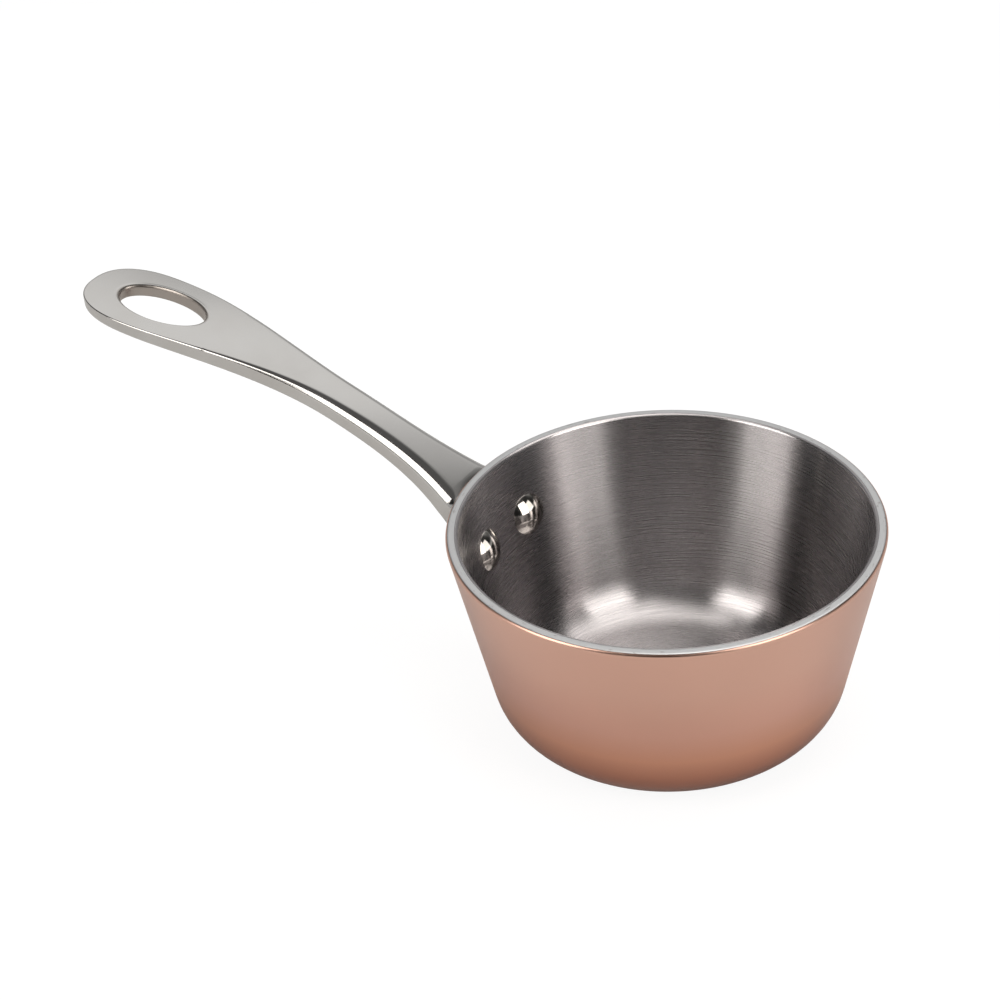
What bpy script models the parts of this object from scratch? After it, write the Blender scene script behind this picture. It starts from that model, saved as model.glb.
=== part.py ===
"""Small two-rivet saucepan: a tapered pan of three-layer clad sheet and a cast steel handle.

Metres, +Z up. The origin is the centre of the flat base on the hob, and the handle points
along +X. "Reach" is the distance from the pan's axis, "height" the distance above the hob.
"""

import math

import bmesh
import bpy
from mathutils import Vector

# Pan: outside shape
RIM_RADIUS = 0.0452
PAN_HEIGHT = 0.0461
WALL_LEAN = math.radians(12.6)
FOOT_RADIUS = 0.0128
RIM_OUTER_ROUND = 0.0009
RIM_INNER_ROUND = 0.0005

# Clad sheet: three layers, with the hairline between them
COPPER_THICKNESS = 0.0005
ALUMINIUM_THICKNESS = 0.0014
STEEL_THICKNESS = 0.0006
BOND_GAP = 0.00005

# Rivets: two, side by side, square to the wall
RIVET_DROP = 0.0141
RIVET_HALF_ANGLE = math.radians(11.4)
SHANK_RADIUS = 0.0022
HEAD_RADIUS = 0.0045
HEAD_DOME = 0.0018
HEAD_LIP = 0.0002
TAIL_RADIUS = 0.0030
TAIL_DOME = 0.0009
TAIL_LIP = 0.0003
STEM_OVERLAP = 0.0006

# Fits
SEAT_GAP = 0.0003
HOLE_CLEARANCE = 0.0003
TAIL_CLEARANCE = 0.0006

# Flange: the pad of the handle that lies on the wall
FLANGE_THICKNESS = 0.0030
FLANGE_HALF_WIDTH = 0.0134
FLANGE_HALF_HEIGHT = 0.0085
FLANGE_RISE = 0.0022
FLANGE_CORNER = 0.0058
FLANGE_EDGE_ROUND = 0.0007
SPOT_FACE_DEPTH = 0.0002

# Sweep: the hollow in which the bar runs out into the flange
SWEEP_OFFSET = 0.0038
SWEEP_LAND = 0.0009
SWEEP_UPPER_LAND = 0.0002
SWEEP_STRAIGHT_SHARE = 0.45
SWEEP_PULL = 1.0
SWEEP_UPPER_PULL = 0.1

# Handle: side view, measured along its top face
HANDLE_LENGTH = 0.1010
ROOT_OFFSET = 0.0048
ROOT_DROP = 0.0027
ROOT_SLOPE = math.radians(26.0)
TIP_SLOPE = math.radians(5.5)
BEND_RADIUS = 0.2120

# Handle: plan view
WAIST_HALF_WIDTH = 0.00485
PADDLE_HALF_WIDTH = 0.01075
PADDLE_TIP_LENGTH = 0.0160
WAIST_TO_PADDLE = 0.0515
TIP_FULLNESS = 2.4
FLARE_GAIN = 0.0027
FLARE_POWER = 3.3

# Handle: thickness and edges
TIP_THICKNESS = 0.0028
ROOT_THICKNESS = 0.0055
ROOT_DEEPENING = 0.0008
TOP_CROWN = 0.0002
PADDLE_SHOULDER = 0.0005
NECK_SHOULDER = 0.0025
SHOULDER_OFFSET = 0.0088
SHOULDER_RUN = 0.0680
UNDER_EDGE_ROUND = 0.0006
SIDE_DRAFT = math.radians(2.5)

# Hanging hole
HOLE_HALF_LENGTH = 0.0110
HOLE_HALF_WIDTH = 0.0059
HOLE_FROM_TIP = 0.0191
HOLE_EDGE_ROUND = 0.0007

# Finishes: linear colour and roughness, each of them a bare metal
COPPER_FINISH = ((0.63, 0.33, 0.23), 0.28)
CORE_FINISH = ((0.72, 0.72, 0.72), 0.45)
LINER_FINISH = ((0.60, 0.59, 0.57), 0.30)
CAST_FINISH = ((0.62, 0.61, 0.59), 0.25)
RIVET_FINISH = ((0.68, 0.67, 0.65), 0.12)

# Fineness of the facets
WELD_DISTANCE = 0.000001
SHARP_ANGLE = math.radians(35)
TURN_STEPS = 72
FOOT_STEPS = 6
ROUND_STEPS = 3
CROWN_STEPS = 3
SHOULDER_STEPS = 4
UNDER_STEPS = 5
SWEEP_STEPS = 7
DOME_STEPS = 5
RIVET_STEPS = 32
BORE_STEPS = 24
HOLE_STEPS = 40
FLARE_STEPS = 11
SWELL_STEPS = 12
TIP_STEPS = 12

# Values that follow from the ones above
WALL_THICKNESS = COPPER_THICKNESS + ALUMINIUM_THICKNESS + STEEL_THICKNESS + 2 * BOND_GAP
BEND_START = RIM_RADIUS + ROOT_OFFSET
SWEEP_REACH = RIM_RADIUS + SWEEP_OFFSET
SHOULDER_REACH = RIM_RADIUS + SHOULDER_OFFSET
TIP_REACH = RIM_RADIUS + HANDLE_LENGTH
PADDLE_REACH = TIP_REACH - PADDLE_TIP_LENGTH
WAIST_REACH = PADDLE_REACH - WAIST_TO_PADDLE
HOLE_REACH = TIP_REACH - HOLE_FROM_TIP


def clear_scene():
    """Remove what the scene holds."""
    for leftover in list(bpy.data.objects):
        bpy.data.objects.remove(leftover, do_unlink=True)


def make_collection(name):
    """Add a collection to the scene."""
    collection = bpy.data.collections.new(name)
    bpy.context.scene.collection.children.link(collection)
    return collection


def make_material(name, finish):
    """Add a Principled material for a bare metal."""
    colour, roughness = finish
    material = bpy.data.materials.new(name)
    material.use_nodes = True
    shader = material.node_tree.nodes["Principled BSDF"]
    shader.inputs["Base Color"].default_value = (*colour, 1.0)
    shader.inputs["Metallic"].default_value = 1.0
    shader.inputs["Roughness"].default_value = roughness
    return material


def make_object(name, mesh, collection, material=None):
    """Place a mesh in a collection under a plain name."""
    part = bpy.data.objects.new(name, mesh)
    collection.objects.link(part)
    if material is None:
        part.display_type = "WIRE"
        part.hide_render = True
    else:
        mesh.materials.append(material)
    return part


def mesh_from(name, build):
    """Fill a new mesh from a bmesh, round faces shaded smooth."""
    mesh = bpy.data.meshes.new(name)
    build.to_mesh(mesh)
    build.free()
    mesh.shade_smooth()
    mesh.set_sharp_from_angle(angle=SHARP_ANGLE)
    return mesh


def turned(name, outline, steps, collection, material=None):
    """Turn an outline of (radius, height) points, top to bottom on its outer side, about Z."""
    mesh = bpy.data.meshes.new(name)
    points = [(radius, 0.0, height) for radius, height in outline]
    edges = [(index, index + 1) for index in range(len(points) - 1)]
    mesh.from_pydata(points, edges, [])
    part = make_object(name, mesh, collection, material)
    screw = part.modifiers.new("turn", "SCREW")
    screw.axis = "Z"
    screw.angle = 2 * math.pi
    screw.steps = steps
    screw.render_steps = steps
    screw.use_merge_vertices = True
    screw.merge_threshold = WELD_DISTANCE
    screw.use_smooth_shade = True
    return part


def combine(part, other, operation):
    """Cut, join or intersect a part with another solid."""
    boolean = part.modifiers.new(f"{operation.lower()}_{other.name}", "BOOLEAN")
    boolean.operation = operation
    boolean.solver = "EXACT"
    boolean.object = other


def even_shading(part):
    """Let the large faces lead the shading, so that flats beside a cut still look flat."""
    weighted = part.modifiers.new("even_shading", "WEIGHTED_NORMAL")
    weighted.mode = "FACE_AREA"
    weighted.keep_sharp = True


def wall_radius(inset, height):
    """Radius of the straight wall face that lies an inset inside the outermost one."""
    return RIM_RADIUS - inset / math.cos(WALL_LEAN) - (PAN_HEIGHT - height) * math.tan(WALL_LEAN)


def skin_foot(inset):
    """Points of a skin face from the foot of the wall round the corner to the axis."""
    centre = wall_radius(FOOT_RADIUS, FOOT_RADIUS)
    radius = FOOT_RADIUS - inset
    points = []
    for step in range(FOOT_STEPS + 1):
        angle = WALL_LEAN + (math.pi / 2 - WALL_LEAN) * step / FOOT_STEPS
        points.append((centre + radius * math.cos(angle), FOOT_RADIUS - radius * math.sin(angle)))
    return points + [(0.0, inset)]


def rim_height(inset):
    """Height of the cut rim, which is rounded off at its outer and inner edges."""
    outer = max(RIM_OUTER_ROUND - inset, 0.0)
    inner = max(RIM_INNER_ROUND - (WALL_THICKNESS - inset), 0.0)
    outer_drop = RIM_OUTER_ROUND - math.sqrt(max(RIM_OUTER_ROUND**2 - outer**2, 0.0))
    inner_drop = RIM_INNER_ROUND - math.sqrt(max(RIM_INNER_ROUND**2 - inner**2, 0.0))
    return PAN_HEIGHT - outer_drop - inner_drop


def rim_points(outer, inner):
    """Points across the rim of one layer, from its inner face to its outer one."""
    insets = [inner + (outer - inner) * step / ROUND_STEPS for step in range(ROUND_STEPS + 1)]
    return [(wall_radius(inset, rim_height(inset)), rim_height(inset)) for inset in insets]


def layer_outline(outer, inner):
    """Closed outline of one clad layer, up its inner face and down its outer one."""
    return skin_foot(inner)[::-1] + rim_points(outer, inner) + skin_foot(outer)


def solid_outline(inset, top):
    """Outline of everything inside one skin face, up to a flat top."""
    return [(0.0, top), (wall_radius(inset, top), top)] + skin_foot(inset)


def rivet_height():
    """Height at which the rivets' axes cross the inner wall face."""
    return PAN_HEIGHT - RIVET_DROP


def put_on_wall(part, turn):
    """Stand a part on the inner wall face at the rivets' height, its +Z square out of the wall."""
    reach = wall_radius(WALL_THICKNESS, rivet_height())
    part.location = (reach * math.cos(turn), reach * math.sin(turn), rivet_height())
    part.rotation_euler = (0.0, math.pi / 2 + WALL_LEAN, turn)


def spot_face_level():
    """Level of the flat faces under the rivets' tails, measured from the inner wall face."""
    return WALL_THICKNESS + SEAT_GAP + FLANGE_THICKNESS - SPOT_FACE_DEPTH


def dome_outline(radius, dome, level, upward):
    """Outline of a dome that stands on a level, from its crown out to its edge."""
    sphere = (radius**2 + dome**2) / (2 * dome)
    spread = math.asin(radius / sphere)
    points = []
    for step in range(DOME_STEPS + 1):
        angle = spread * step / DOME_STEPS
        rise = dome - sphere * (1 - math.cos(angle))
        points.append((sphere * math.sin(angle), level + upward * rise))
    return points


def make_layers(parts, cutters, finishes):
    """The three bonded layers of the pan, each drilled for both rivets."""
    drills = []
    for side, turn in (("left", RIVET_HALF_ANGLE), ("right", -RIVET_HALF_ANGLE)):
        radius = SHANK_RADIUS + HOLE_CLEARANCE
        half = 2 * WALL_THICKNESS
        outline = [(0.0, half), (radius, half), (radius, -half), (0.0, -half)]
        drill = turned(f"wall_drill_{side}", outline, BORE_STEPS, cutters)
        put_on_wall(drill, turn)
        drills.append(drill)
    layers = (
        ("copper_shell", COPPER_THICKNESS),
        ("aluminium_core", ALUMINIUM_THICKNESS),
        ("steel_liner", STEEL_THICKNESS),
    )
    inset = 0.0
    for name, thickness in layers:
        outline = layer_outline(inset, inset + thickness)
        layer = turned(name, outline, TURN_STEPS, parts, finishes[name])
        for drill in drills:
            combine(layer, drill, "DIFFERENCE")
        even_shading(layer)
        inset += thickness + BOND_GAP


def make_rivet(side, turn, parts, cutters, finish):
    """A rivet: a domed head that follows the inner wall, a shank, and an upset tail outside."""
    head = dome_outline(HEAD_RADIUS, HEAD_DOME, -SEAT_GAP - HEAD_LIP, -1)[::-1]
    head = [(0.0, HEAD_LIP), (HEAD_RADIUS, HEAD_LIP)] + head
    rivet = turned(f"rivet_{side}", head, RIVET_STEPS, parts, finish)
    put_on_wall(rivet, turn)

    cavity_inset = WALL_THICKNESS + SEAT_GAP
    cavity = turned(f"cavity_{side}", solid_outline(cavity_inset, PAN_HEIGHT), TURN_STEPS, cutters)
    combine(rivet, cavity, "INTERSECT")

    seat = spot_face_level() + SEAT_GAP
    inside_head = -SEAT_GAP - HEAD_LIP - STEM_OVERLAP
    shank = dome_outline(TAIL_RADIUS, TAIL_DOME, seat + TAIL_LIP, 1)
    shank += [(TAIL_RADIUS, seat), (SHANK_RADIUS, seat)]
    shank += [(SHANK_RADIUS, inside_head), (0.0, inside_head)]
    stem = turned(f"stem_{side}", shank, RIVET_STEPS, cutters)
    put_on_wall(stem, turn)
    combine(rivet, stem, "UNION")
    even_shading(rivet)


def top_slope(reach):
    """Slope angle of the handle's top face: an even bend, then straight to the tip."""
    sine = math.sin(ROOT_SLOPE) - (reach - BEND_START) / BEND_RADIUS
    return math.asin(max(sine, math.sin(TIP_SLOPE)))


def top_height(reach):
    """Height of the handle's top face on its centre line."""
    slope = top_slope(reach)
    start = PAN_HEIGHT - ROOT_DROP
    bend_end = BEND_START + BEND_RADIUS * (math.sin(ROOT_SLOPE) - math.sin(TIP_SLOPE))
    arc_rise = BEND_RADIUS * (math.cos(slope) - math.cos(ROOT_SLOPE))
    return start + arc_rise + max(reach - bend_end, 0.0) * math.tan(TIP_SLOPE)


def flare(reach):
    """How far the handle has spread toward the wall: 0 at the waist, 1 where the sweep starts."""
    share = (WAIST_REACH - reach) / (WAIST_REACH - SWEEP_REACH)
    return max(share, 0.0) ** FLARE_POWER


def half_width(reach):
    """Half the handle's width between the flange and the paddle's widest place."""
    share = min(max((reach - WAIST_REACH) / (PADDLE_REACH - WAIST_REACH), 0.0), 1.0)
    swell = (PADDLE_HALF_WIDTH - WAIST_HALF_WIDTH) * share * share * (3 - 2 * share)
    return WAIST_HALF_WIDTH + swell + FLARE_GAIN * flare(reach)


def thickness(reach):
    """Thickness of the handle, square to its top face."""
    share = (TIP_REACH - reach) / (TIP_REACH - BEND_START)
    return TIP_THICKNESS + (ROOT_THICKNESS - TIP_THICKNESS) * share + ROOT_DEEPENING * flare(reach)


def plan_outline():
    """Half of the plan outline from the sweep to the tip, as (reach, half width) points."""
    points = []
    for step in range(FLARE_STEPS):
        reach = SWEEP_REACH + (WAIST_REACH - SWEEP_REACH) * step / FLARE_STEPS
        points.append((reach, half_width(reach)))
    for step in range(SWELL_STEPS):
        reach = WAIST_REACH + (PADDLE_REACH - WAIST_REACH) * step / SWELL_STEPS
        points.append((reach, half_width(reach)))
    for step in range(TIP_STEPS + 1):
        angle = math.pi / 2 * step / TIP_STEPS
        along = math.sin(angle) ** (2 / TIP_FULLNESS)
        across = abs(math.cos(angle)) ** (2 / TIP_FULLNESS)
        points.append((PADDLE_REACH + PADDLE_TIP_LENGTH * along, PADDLE_HALF_WIDTH * across))
    return points


def outward_directions(points):
    """Unit directions in plan, square to the outline and away from the handle."""
    directions = []
    for index, point in enumerate(points):
        before = points[max(index - 1, 0)]
        after = points[min(index + 1, len(points) - 1)]
        along = Vector((after[0] - before[0], after[1] - before[1])).normalized()
        directions.append(Vector((-along.y, along.x)))
    directions[-1] = Vector((1.0, 0.0))
    return directions


def shoulder(reach):
    """Radius at which the top face rolls down to a side: large at the neck, small at the tip."""
    share = min(max((reach - SHOULDER_REACH) / SHOULDER_RUN, 0.0), 1.0)
    return NECK_SHOULDER + (PADDLE_SHOULDER - NECK_SHOULDER) * share * share * (3 - 2 * share)


def section_top(reach):
    """Upper half section from the centre to the side, as (inset, share, level) points."""
    radius = shoulder(reach)
    points = []
    for step in range(CROWN_STEPS):
        share = step / CROWN_STEPS
        points.append((radius, share, -TOP_CROWN * share**2))
    for step in range(SHOULDER_STEPS + 1):
        angle = math.pi / 2 * step / SHOULDER_STEPS
        level = -TOP_CROWN - radius * (1 - math.cos(angle))
        points.append((radius * (1 - math.sin(angle)), 1.0, level))
    return points


def section_under(reach):
    """Lower half section from the side to the centre, as (inset, share, level) points."""
    depth = thickness(reach)
    under = depth - UNDER_EDGE_ROUND
    draft = under * math.tan(SIDE_DRAFT)
    points = []
    for step in range(ROUND_STEPS + 1):
        angle = math.pi / 2 * step / ROUND_STEPS
        inset = draft + UNDER_EDGE_ROUND * (1 - math.cos(angle))
        points.append((inset, 1.0, -under - UNDER_EDGE_ROUND * math.sin(angle)))
    for step in range(1, UNDER_STEPS + 1):
        share = math.cos(math.pi / 2 * step / UNDER_STEPS)
        points.append((draft + UNDER_EDGE_ROUND, max(share, 0.0), -depth))
    return points


def handle_row(point, outward):
    """Places of the half section at one outline point, from the top centre to the under centre."""
    reach, width = point
    slope = top_slope(reach)
    row = []
    for inset, share, level in section_top(reach) + section_under(reach):
        along = reach - inset * outward.x
        across = max(width - inset * outward.y, 0.0) * share
        rise = top_height(reach) + (along - reach) * math.tan(slope) + level * math.cos(slope)
        row.append(Vector((along - level * math.sin(slope), across, rise)))
    row[-1].y = 0.0
    return row


def on_wall(across, along, out):
    """Point at a distance out from the copper face, measured up the wall from the rivets."""
    height = rivet_height() + along * math.cos(WALL_LEAN)
    height -= (WALL_THICKNESS + out) * math.sin(WALL_LEAN)
    radius = wall_radius(-out, height)
    return Vector((math.sqrt(radius**2 - across**2), across, height))


def corner_turn(share):
    """How far round a corner of the flange a share of the half section lies."""
    return math.pi / 2 * max(share - SWEEP_STRAIGHT_SHARE, 0.0) / (1 - SWEEP_STRAIGHT_SHARE)


def flange_place(share, rising, inset, out):
    """Point of the flange inside its outline, from its middle (share 0) round to its side (1)."""
    corner = FLANGE_CORNER - inset
    straight = (FLANGE_HALF_WIDTH - FLANGE_CORNER) * min(share / SWEEP_STRAIGHT_SHARE, 1.0)
    across = straight + corner * math.sin(corner_turn(share))
    along = FLANGE_HALF_HEIGHT - FLANGE_CORNER + corner * math.cos(corner_turn(share))
    return on_wall(across, FLANGE_RISE + rising * along, out)


def sweep_places(start, ahead, share, rising):
    """Places along the hollow sweep from the flange up to one point of the bar's first row."""
    spread = math.sin(corner_turn(share)) if rising > 0 else 1.0
    land = SWEEP_UPPER_LAND + (SWEEP_LAND - SWEEP_UPPER_LAND) * spread
    pull = SWEEP_UPPER_PULL + (SWEEP_PULL - SWEEP_UPPER_PULL) * spread
    face = SEAT_GAP + FLANGE_THICKNESS
    beyond = flange_place(share, rising, FLANGE_EDGE_ROUND, face)
    end = flange_place(share, rising, FLANGE_EDGE_ROUND + land, face)
    span = (end - start).length
    leave = ahead.normalized() * span
    arrive = (beyond - end).normalized() * span * pull
    places = []
    for step in range(SWEEP_STEPS, 0, -1):
        s = step / SWEEP_STEPS
        place = start * (2 * s**3 - 3 * s**2 + 1) + leave * (s**3 - 2 * s**2 + s)
        place += end * (3 * s**2 - 2 * s**3) + arrive * (s**3 - s**2)
        places.append(place)
    return places


def root_rows(first, second):
    """Rows from inside the wall out over the flange's edge and up the sweep to the bar."""
    face = SEAT_GAP + FLANGE_THICKNESS
    edge = [(0.0, -FLANGE_THICKNESS)]
    for step in range(ROUND_STEPS, -1, -1):
        angle = math.pi / 2 * step / ROUND_STEPS
        inset = FLANGE_EDGE_ROUND * (1 - math.sin(angle))
        edge.append((inset, face - FLANGE_EDGE_ROUND * (1 - math.cos(angle))))
    top_count = CROWN_STEPS + SHOULDER_STEPS + 1
    columns = []
    for index, (start, before) in enumerate(zip(first, second)):
        rising = 1 if index < top_count else -1
        widest = first[top_count - 1].y if rising > 0 else first[top_count].y
        share = math.asin(min(start.y / widest, 1.0)) / (math.pi / 2)
        column = [flange_place(share, rising, inset, out) for inset, out in edge]
        columns.append(column + sweep_places(start, start - before, share, rising))
    return [list(row) for row in zip(*columns)]


def half_handle_mesh():
    """Loft the half sections along the outline, open on the plane of symmetry."""
    outline = plan_outline()
    bar = [handle_row(point, way) for point, way in zip(outline, outward_directions(outline))]
    build = bmesh.new()
    rows = []
    for row in root_rows(bar[0], bar[1]) + bar:
        rows.append([build.verts.new(place) for place in row])
    for row, following in zip(rows, rows[1:]):
        for index in range(len(row) - 1):
            corners = [row[index], following[index], following[index + 1], row[index + 1]]
            build.faces.new(corners)
    build.faces.new(rows[0])
    bmesh.ops.remove_doubles(build, verts=build.verts, dist=WELD_DISTANCE)
    return mesh_from("handle", build)


def oval_ring(build, half_length, half_across, level):
    """One ring of an oval cutter."""
    ring = []
    for step in range(HOLE_STEPS):
        angle = 2 * math.pi * step / HOLE_STEPS
        place = (half_length * math.cos(angle), half_across * math.sin(angle), level)
        ring.append(build.verts.new(place))
    return ring


def hanging_hole_mesh():
    """Oval cutter that opens out at both ends, so that it rounds the edges that it cuts."""
    half_depth = thickness(HOLE_REACH) / 2
    levels = []
    for step in range(ROUND_STEPS + 1):
        angle = math.pi / 2 * step / ROUND_STEPS
        spread = HOLE_EDGE_ROUND * (1 - math.sin(angle))
        levels.append((half_depth - HOLE_EDGE_ROUND * (1 - math.cos(angle)), spread))
    levels = [(2 * half_depth, HOLE_EDGE_ROUND)] + levels
    levels += [(-level, spread) for level, spread in reversed(levels)]
    build = bmesh.new()
    rings = []
    for level, spread in levels:
        rings.append(oval_ring(build, HOLE_HALF_LENGTH + spread, HOLE_HALF_WIDTH + spread, level))
    for ring, following in zip(rings, rings[1:]):
        for index in range(HOLE_STEPS):
            after = (index + 1) % HOLE_STEPS
            build.faces.new([ring[after], ring[index], following[index], following[after]])
    build.faces.new(rings[0])
    build.faces.new(rings[-1][::-1])
    bmesh.ops.recalc_face_normals(build, faces=build.faces)
    return mesh_from("hanging_hole", build)


def make_handle(parts, cutters, finish):
    """The cast handle: the lofted bar and flange, fitted to the wall and drilled."""
    handle = make_object("handle", half_handle_mesh(), parts, finish)
    mirror = handle.modifiers.new("other_half", "MIRROR")
    mirror.use_axis = (False, True, False)
    mirror.merge_threshold = WELD_DISTANCE

    above_rim = PAN_HEIGHT + FLANGE_THICKNESS
    seat = turned("seat", solid_outline(-SEAT_GAP, above_rim), TURN_STEPS, cutters)
    combine(handle, seat, "DIFFERENCE")

    hole = make_object("hanging_hole", hanging_hole_mesh(), cutters)
    slope = top_slope(HOLE_REACH)
    sink = thickness(HOLE_REACH) / 2
    hole.location = (
        HOLE_REACH + sink * math.sin(slope),
        0.0,
        top_height(HOLE_REACH) - sink * math.cos(slope),
    )
    hole.rotation_euler = (0.0, -slope, 0.0)
    combine(handle, hole, "DIFFERENCE")

    floor = spot_face_level()
    bore = SHANK_RADIUS + HOLE_CLEARANCE
    pocket = TAIL_RADIUS + TAIL_CLEARANCE
    reach_out = floor + 5 * FLANGE_THICKNESS
    step_outline = [(0.0, reach_out), (pocket, reach_out), (pocket, floor), (bore, floor)]
    step_outline += [(bore, 0.0), (0.0, 0.0)]
    for side, turn in (("left", RIVET_HALF_ANGLE), ("right", -RIVET_HALF_ANGLE)):
        drill = turned(f"flange_drill_{side}", step_outline, BORE_STEPS, cutters)
        put_on_wall(drill, turn)
        combine(handle, drill, "DIFFERENCE")
    even_shading(handle)


def main():
    """Build the saucepan."""
    clear_scene()
    parts = make_collection("saucepan")
    cutters = make_collection("cutters")
    finishes = {
        "copper_shell": make_material("satin_copper", COPPER_FINISH),
        "aluminium_core": make_material("cut_aluminium", CORE_FINISH),
        "steel_liner": make_material("brushed_steel", LINER_FINISH),
    }
    cast_steel = make_material("satin_cast_steel", CAST_FINISH)
    rivet_steel = make_material("polished_steel", RIVET_FINISH)
    make_layers(parts, cutters, finishes)
    make_handle(parts, cutters, cast_steel)
    make_rivet("left", RIVET_HALF_ANGLE, parts, cutters, rivet_steel)
    make_rivet("right", -RIVET_HALF_ANGLE, parts, cutters, rivet_steel)


main()
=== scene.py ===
"""Small copper saucepan: fine meshes, finishes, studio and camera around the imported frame.

Metres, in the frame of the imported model: +Z up out of the pan, +X along the handle, origin at
the centre of the flat base. "Reach" is the distance from the pan's axis along the handle,
"height" the distance above the hob, "inset" how deep a face lies inside the pan's outermost
one, and a "share" runs from 0 to 1.
"""

import logging
import math
from dataclasses import dataclass, field
from enum import Enum
from functools import partial
from typing import Any, Callable, Iterable

import bmesh
import bpy
import numpy as np
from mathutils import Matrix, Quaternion, Vector


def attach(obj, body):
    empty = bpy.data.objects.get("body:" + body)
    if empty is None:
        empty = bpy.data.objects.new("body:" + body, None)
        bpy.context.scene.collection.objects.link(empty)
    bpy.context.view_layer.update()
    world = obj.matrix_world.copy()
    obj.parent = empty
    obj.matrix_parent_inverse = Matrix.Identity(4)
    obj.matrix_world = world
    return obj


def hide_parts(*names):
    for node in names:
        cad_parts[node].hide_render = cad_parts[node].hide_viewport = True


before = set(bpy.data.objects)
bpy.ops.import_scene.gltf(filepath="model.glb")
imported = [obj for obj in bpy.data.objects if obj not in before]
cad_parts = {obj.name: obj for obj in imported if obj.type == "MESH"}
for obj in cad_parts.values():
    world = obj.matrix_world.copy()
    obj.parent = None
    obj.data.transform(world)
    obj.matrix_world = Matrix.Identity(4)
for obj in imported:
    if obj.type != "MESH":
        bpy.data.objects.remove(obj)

LOG = logging.getLogger("saucepan")
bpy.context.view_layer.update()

MM = 0.001
WELD = 0.000001
UP = Vector((0.0, 0.0, 1.0))
HALF_TURN = 180.0
DRILL_STEPS = 48
SHEET_ANGLE = 35.0
CAST_ANGLE = 40.0
LEVEL_PART = (1.0, 1.0, 0.0)
# A noise node's values lie mostly between these, so they are stretched to a whole range.
NOISE_SPREAD = {"From Min": 0.3, "From Max": 0.7}
FINE_DETAIL = 3.0

Piece = bpy.types.Object
Socket = bpy.types.NodeSocket
Adder = Callable[..., Socket]
Outline = list[tuple[float, float]]


class Element(Enum):
    """What edit mode selects."""

    POINTS = "VERT"
    EDGES = "EDGE"
    FACES = "FACE"


class Cut(Enum):
    """How a second solid changes a piece."""

    DRILL = "DIFFERENCE"
    JOIN = "UNION"
    TRIM = "INTERSECT"


class Side(Enum):
    """The two rivets, by the way they turn from the handle's middle."""

    LEFT = 1
    RIGHT = -1


def linear(code: str) -> tuple[float, float, float, float]:
    """Turn an sRGB hex code into a linear colour.

    Args:
        code: A colour such as "#c98a6b".

    Returns:
        Red, green, blue and an alpha of 1.
    """
    shares = [int(code[i : i + 2], 16) / 255 for i in (1, 3, 5)]
    red, green, blue = (
        share / 12.92 if share <= 0.04045 else ((share + 0.055) / 1.055) ** 2.4 for share in shares
    )
    return red, green, blue, 1.0


def wire(node: bpy.types.Node, settings: dict[Any, Any], links: dict[Any, Socket]) -> None:
    """Set a node's properties and inputs, and link the other inputs.

    Args:
        node: The node.
        settings: Properties of the node, values of its inputs by name or number, or the
            "stops" of a colour ramp as (place, linear colour) pairs in rising order.
        links: Output sockets of other nodes, by the name or number of this node's input.
    """
    for key, value in settings.items():
        if key == "stops":
            elements = node.color_ramp.elements
            while len(elements) < len(value):
                elements.new(1.0)
            for element, (place, colour) in zip(elements, value):
                element.position = place
                element.color = colour
        elif isinstance(key, str) and hasattr(node, key):
            setattr(node, key, value)
        else:
            node.inputs[key].default_value = value
    for key, source in links.items():
        node.id_data.links.new(source, node.inputs[key])


def add_node(
    tree: bpy.types.NodeTree,
    kind: str,
    settings: dict[Any, Any] | None = None,
    links: dict[Any, Socket] | None = None,
    output: str | int = 0,
) -> Socket:
    """Add a node with its settings and links.

    Args:
        tree: The node tree to add to.
        kind: The node's type name, after "ShaderNode".
        settings: Its properties and input values, as for wire.
        links: Sockets that feed it, as for wire.
        output: Name or number of the output that is wanted.

    Returns:
        That output.
    """
    node = tree.nodes.new(f"ShaderNode{kind}")
    wire(node, settings or {}, links or {})
    return node.outputs[output]


def new_material(name: str) -> tuple[bpy.types.Material, Adder, bpy.types.Node]:
    """Start a material.

    Args:
        name: What the material is and how its surface was made.

    Returns:
        The material, the function that adds nodes to it, and its shader.
    """
    made = bpy.data.materials.new(name)
    made.use_nodes = True
    return made, partial(add_node, made.node_tree), made.node_tree.nodes["Principled BSDF"]


def take(piece: Piece) -> None:
    """Make one piece the only selected and active one.

    Args:
        piece: The piece.
    """
    bpy.ops.object.select_all(action="DESELECT")
    piece.select_set(True)
    bpy.context.view_layer.objects.active = piece


def settle(name: str) -> Piece:
    """Name the active piece and put its place into its mesh.

    Args:
        name: The piece's name.

    Returns:
        The piece, at the origin, unturned and unscaled.
    """
    piece = bpy.context.active_object
    piece.name = name
    piece.data.name = name
    bpy.ops.object.transform_apply(location=True, rotation=True, scale=True)
    return piece


def begin_edit(piece: Piece, element: Element) -> None:
    """Enter edit mode on a piece with all of it selected.

    Args:
        piece: The piece.
        element: What edit mode selects.
    """
    take(piece)
    bpy.ops.object.mode_set(mode="EDIT")
    bpy.ops.mesh.select_mode(type=element.value)
    bpy.ops.mesh.select_all(action="SELECT")


def end_edit() -> None:
    """Leave edit mode."""
    bpy.ops.object.mode_set(mode="OBJECT")


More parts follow.
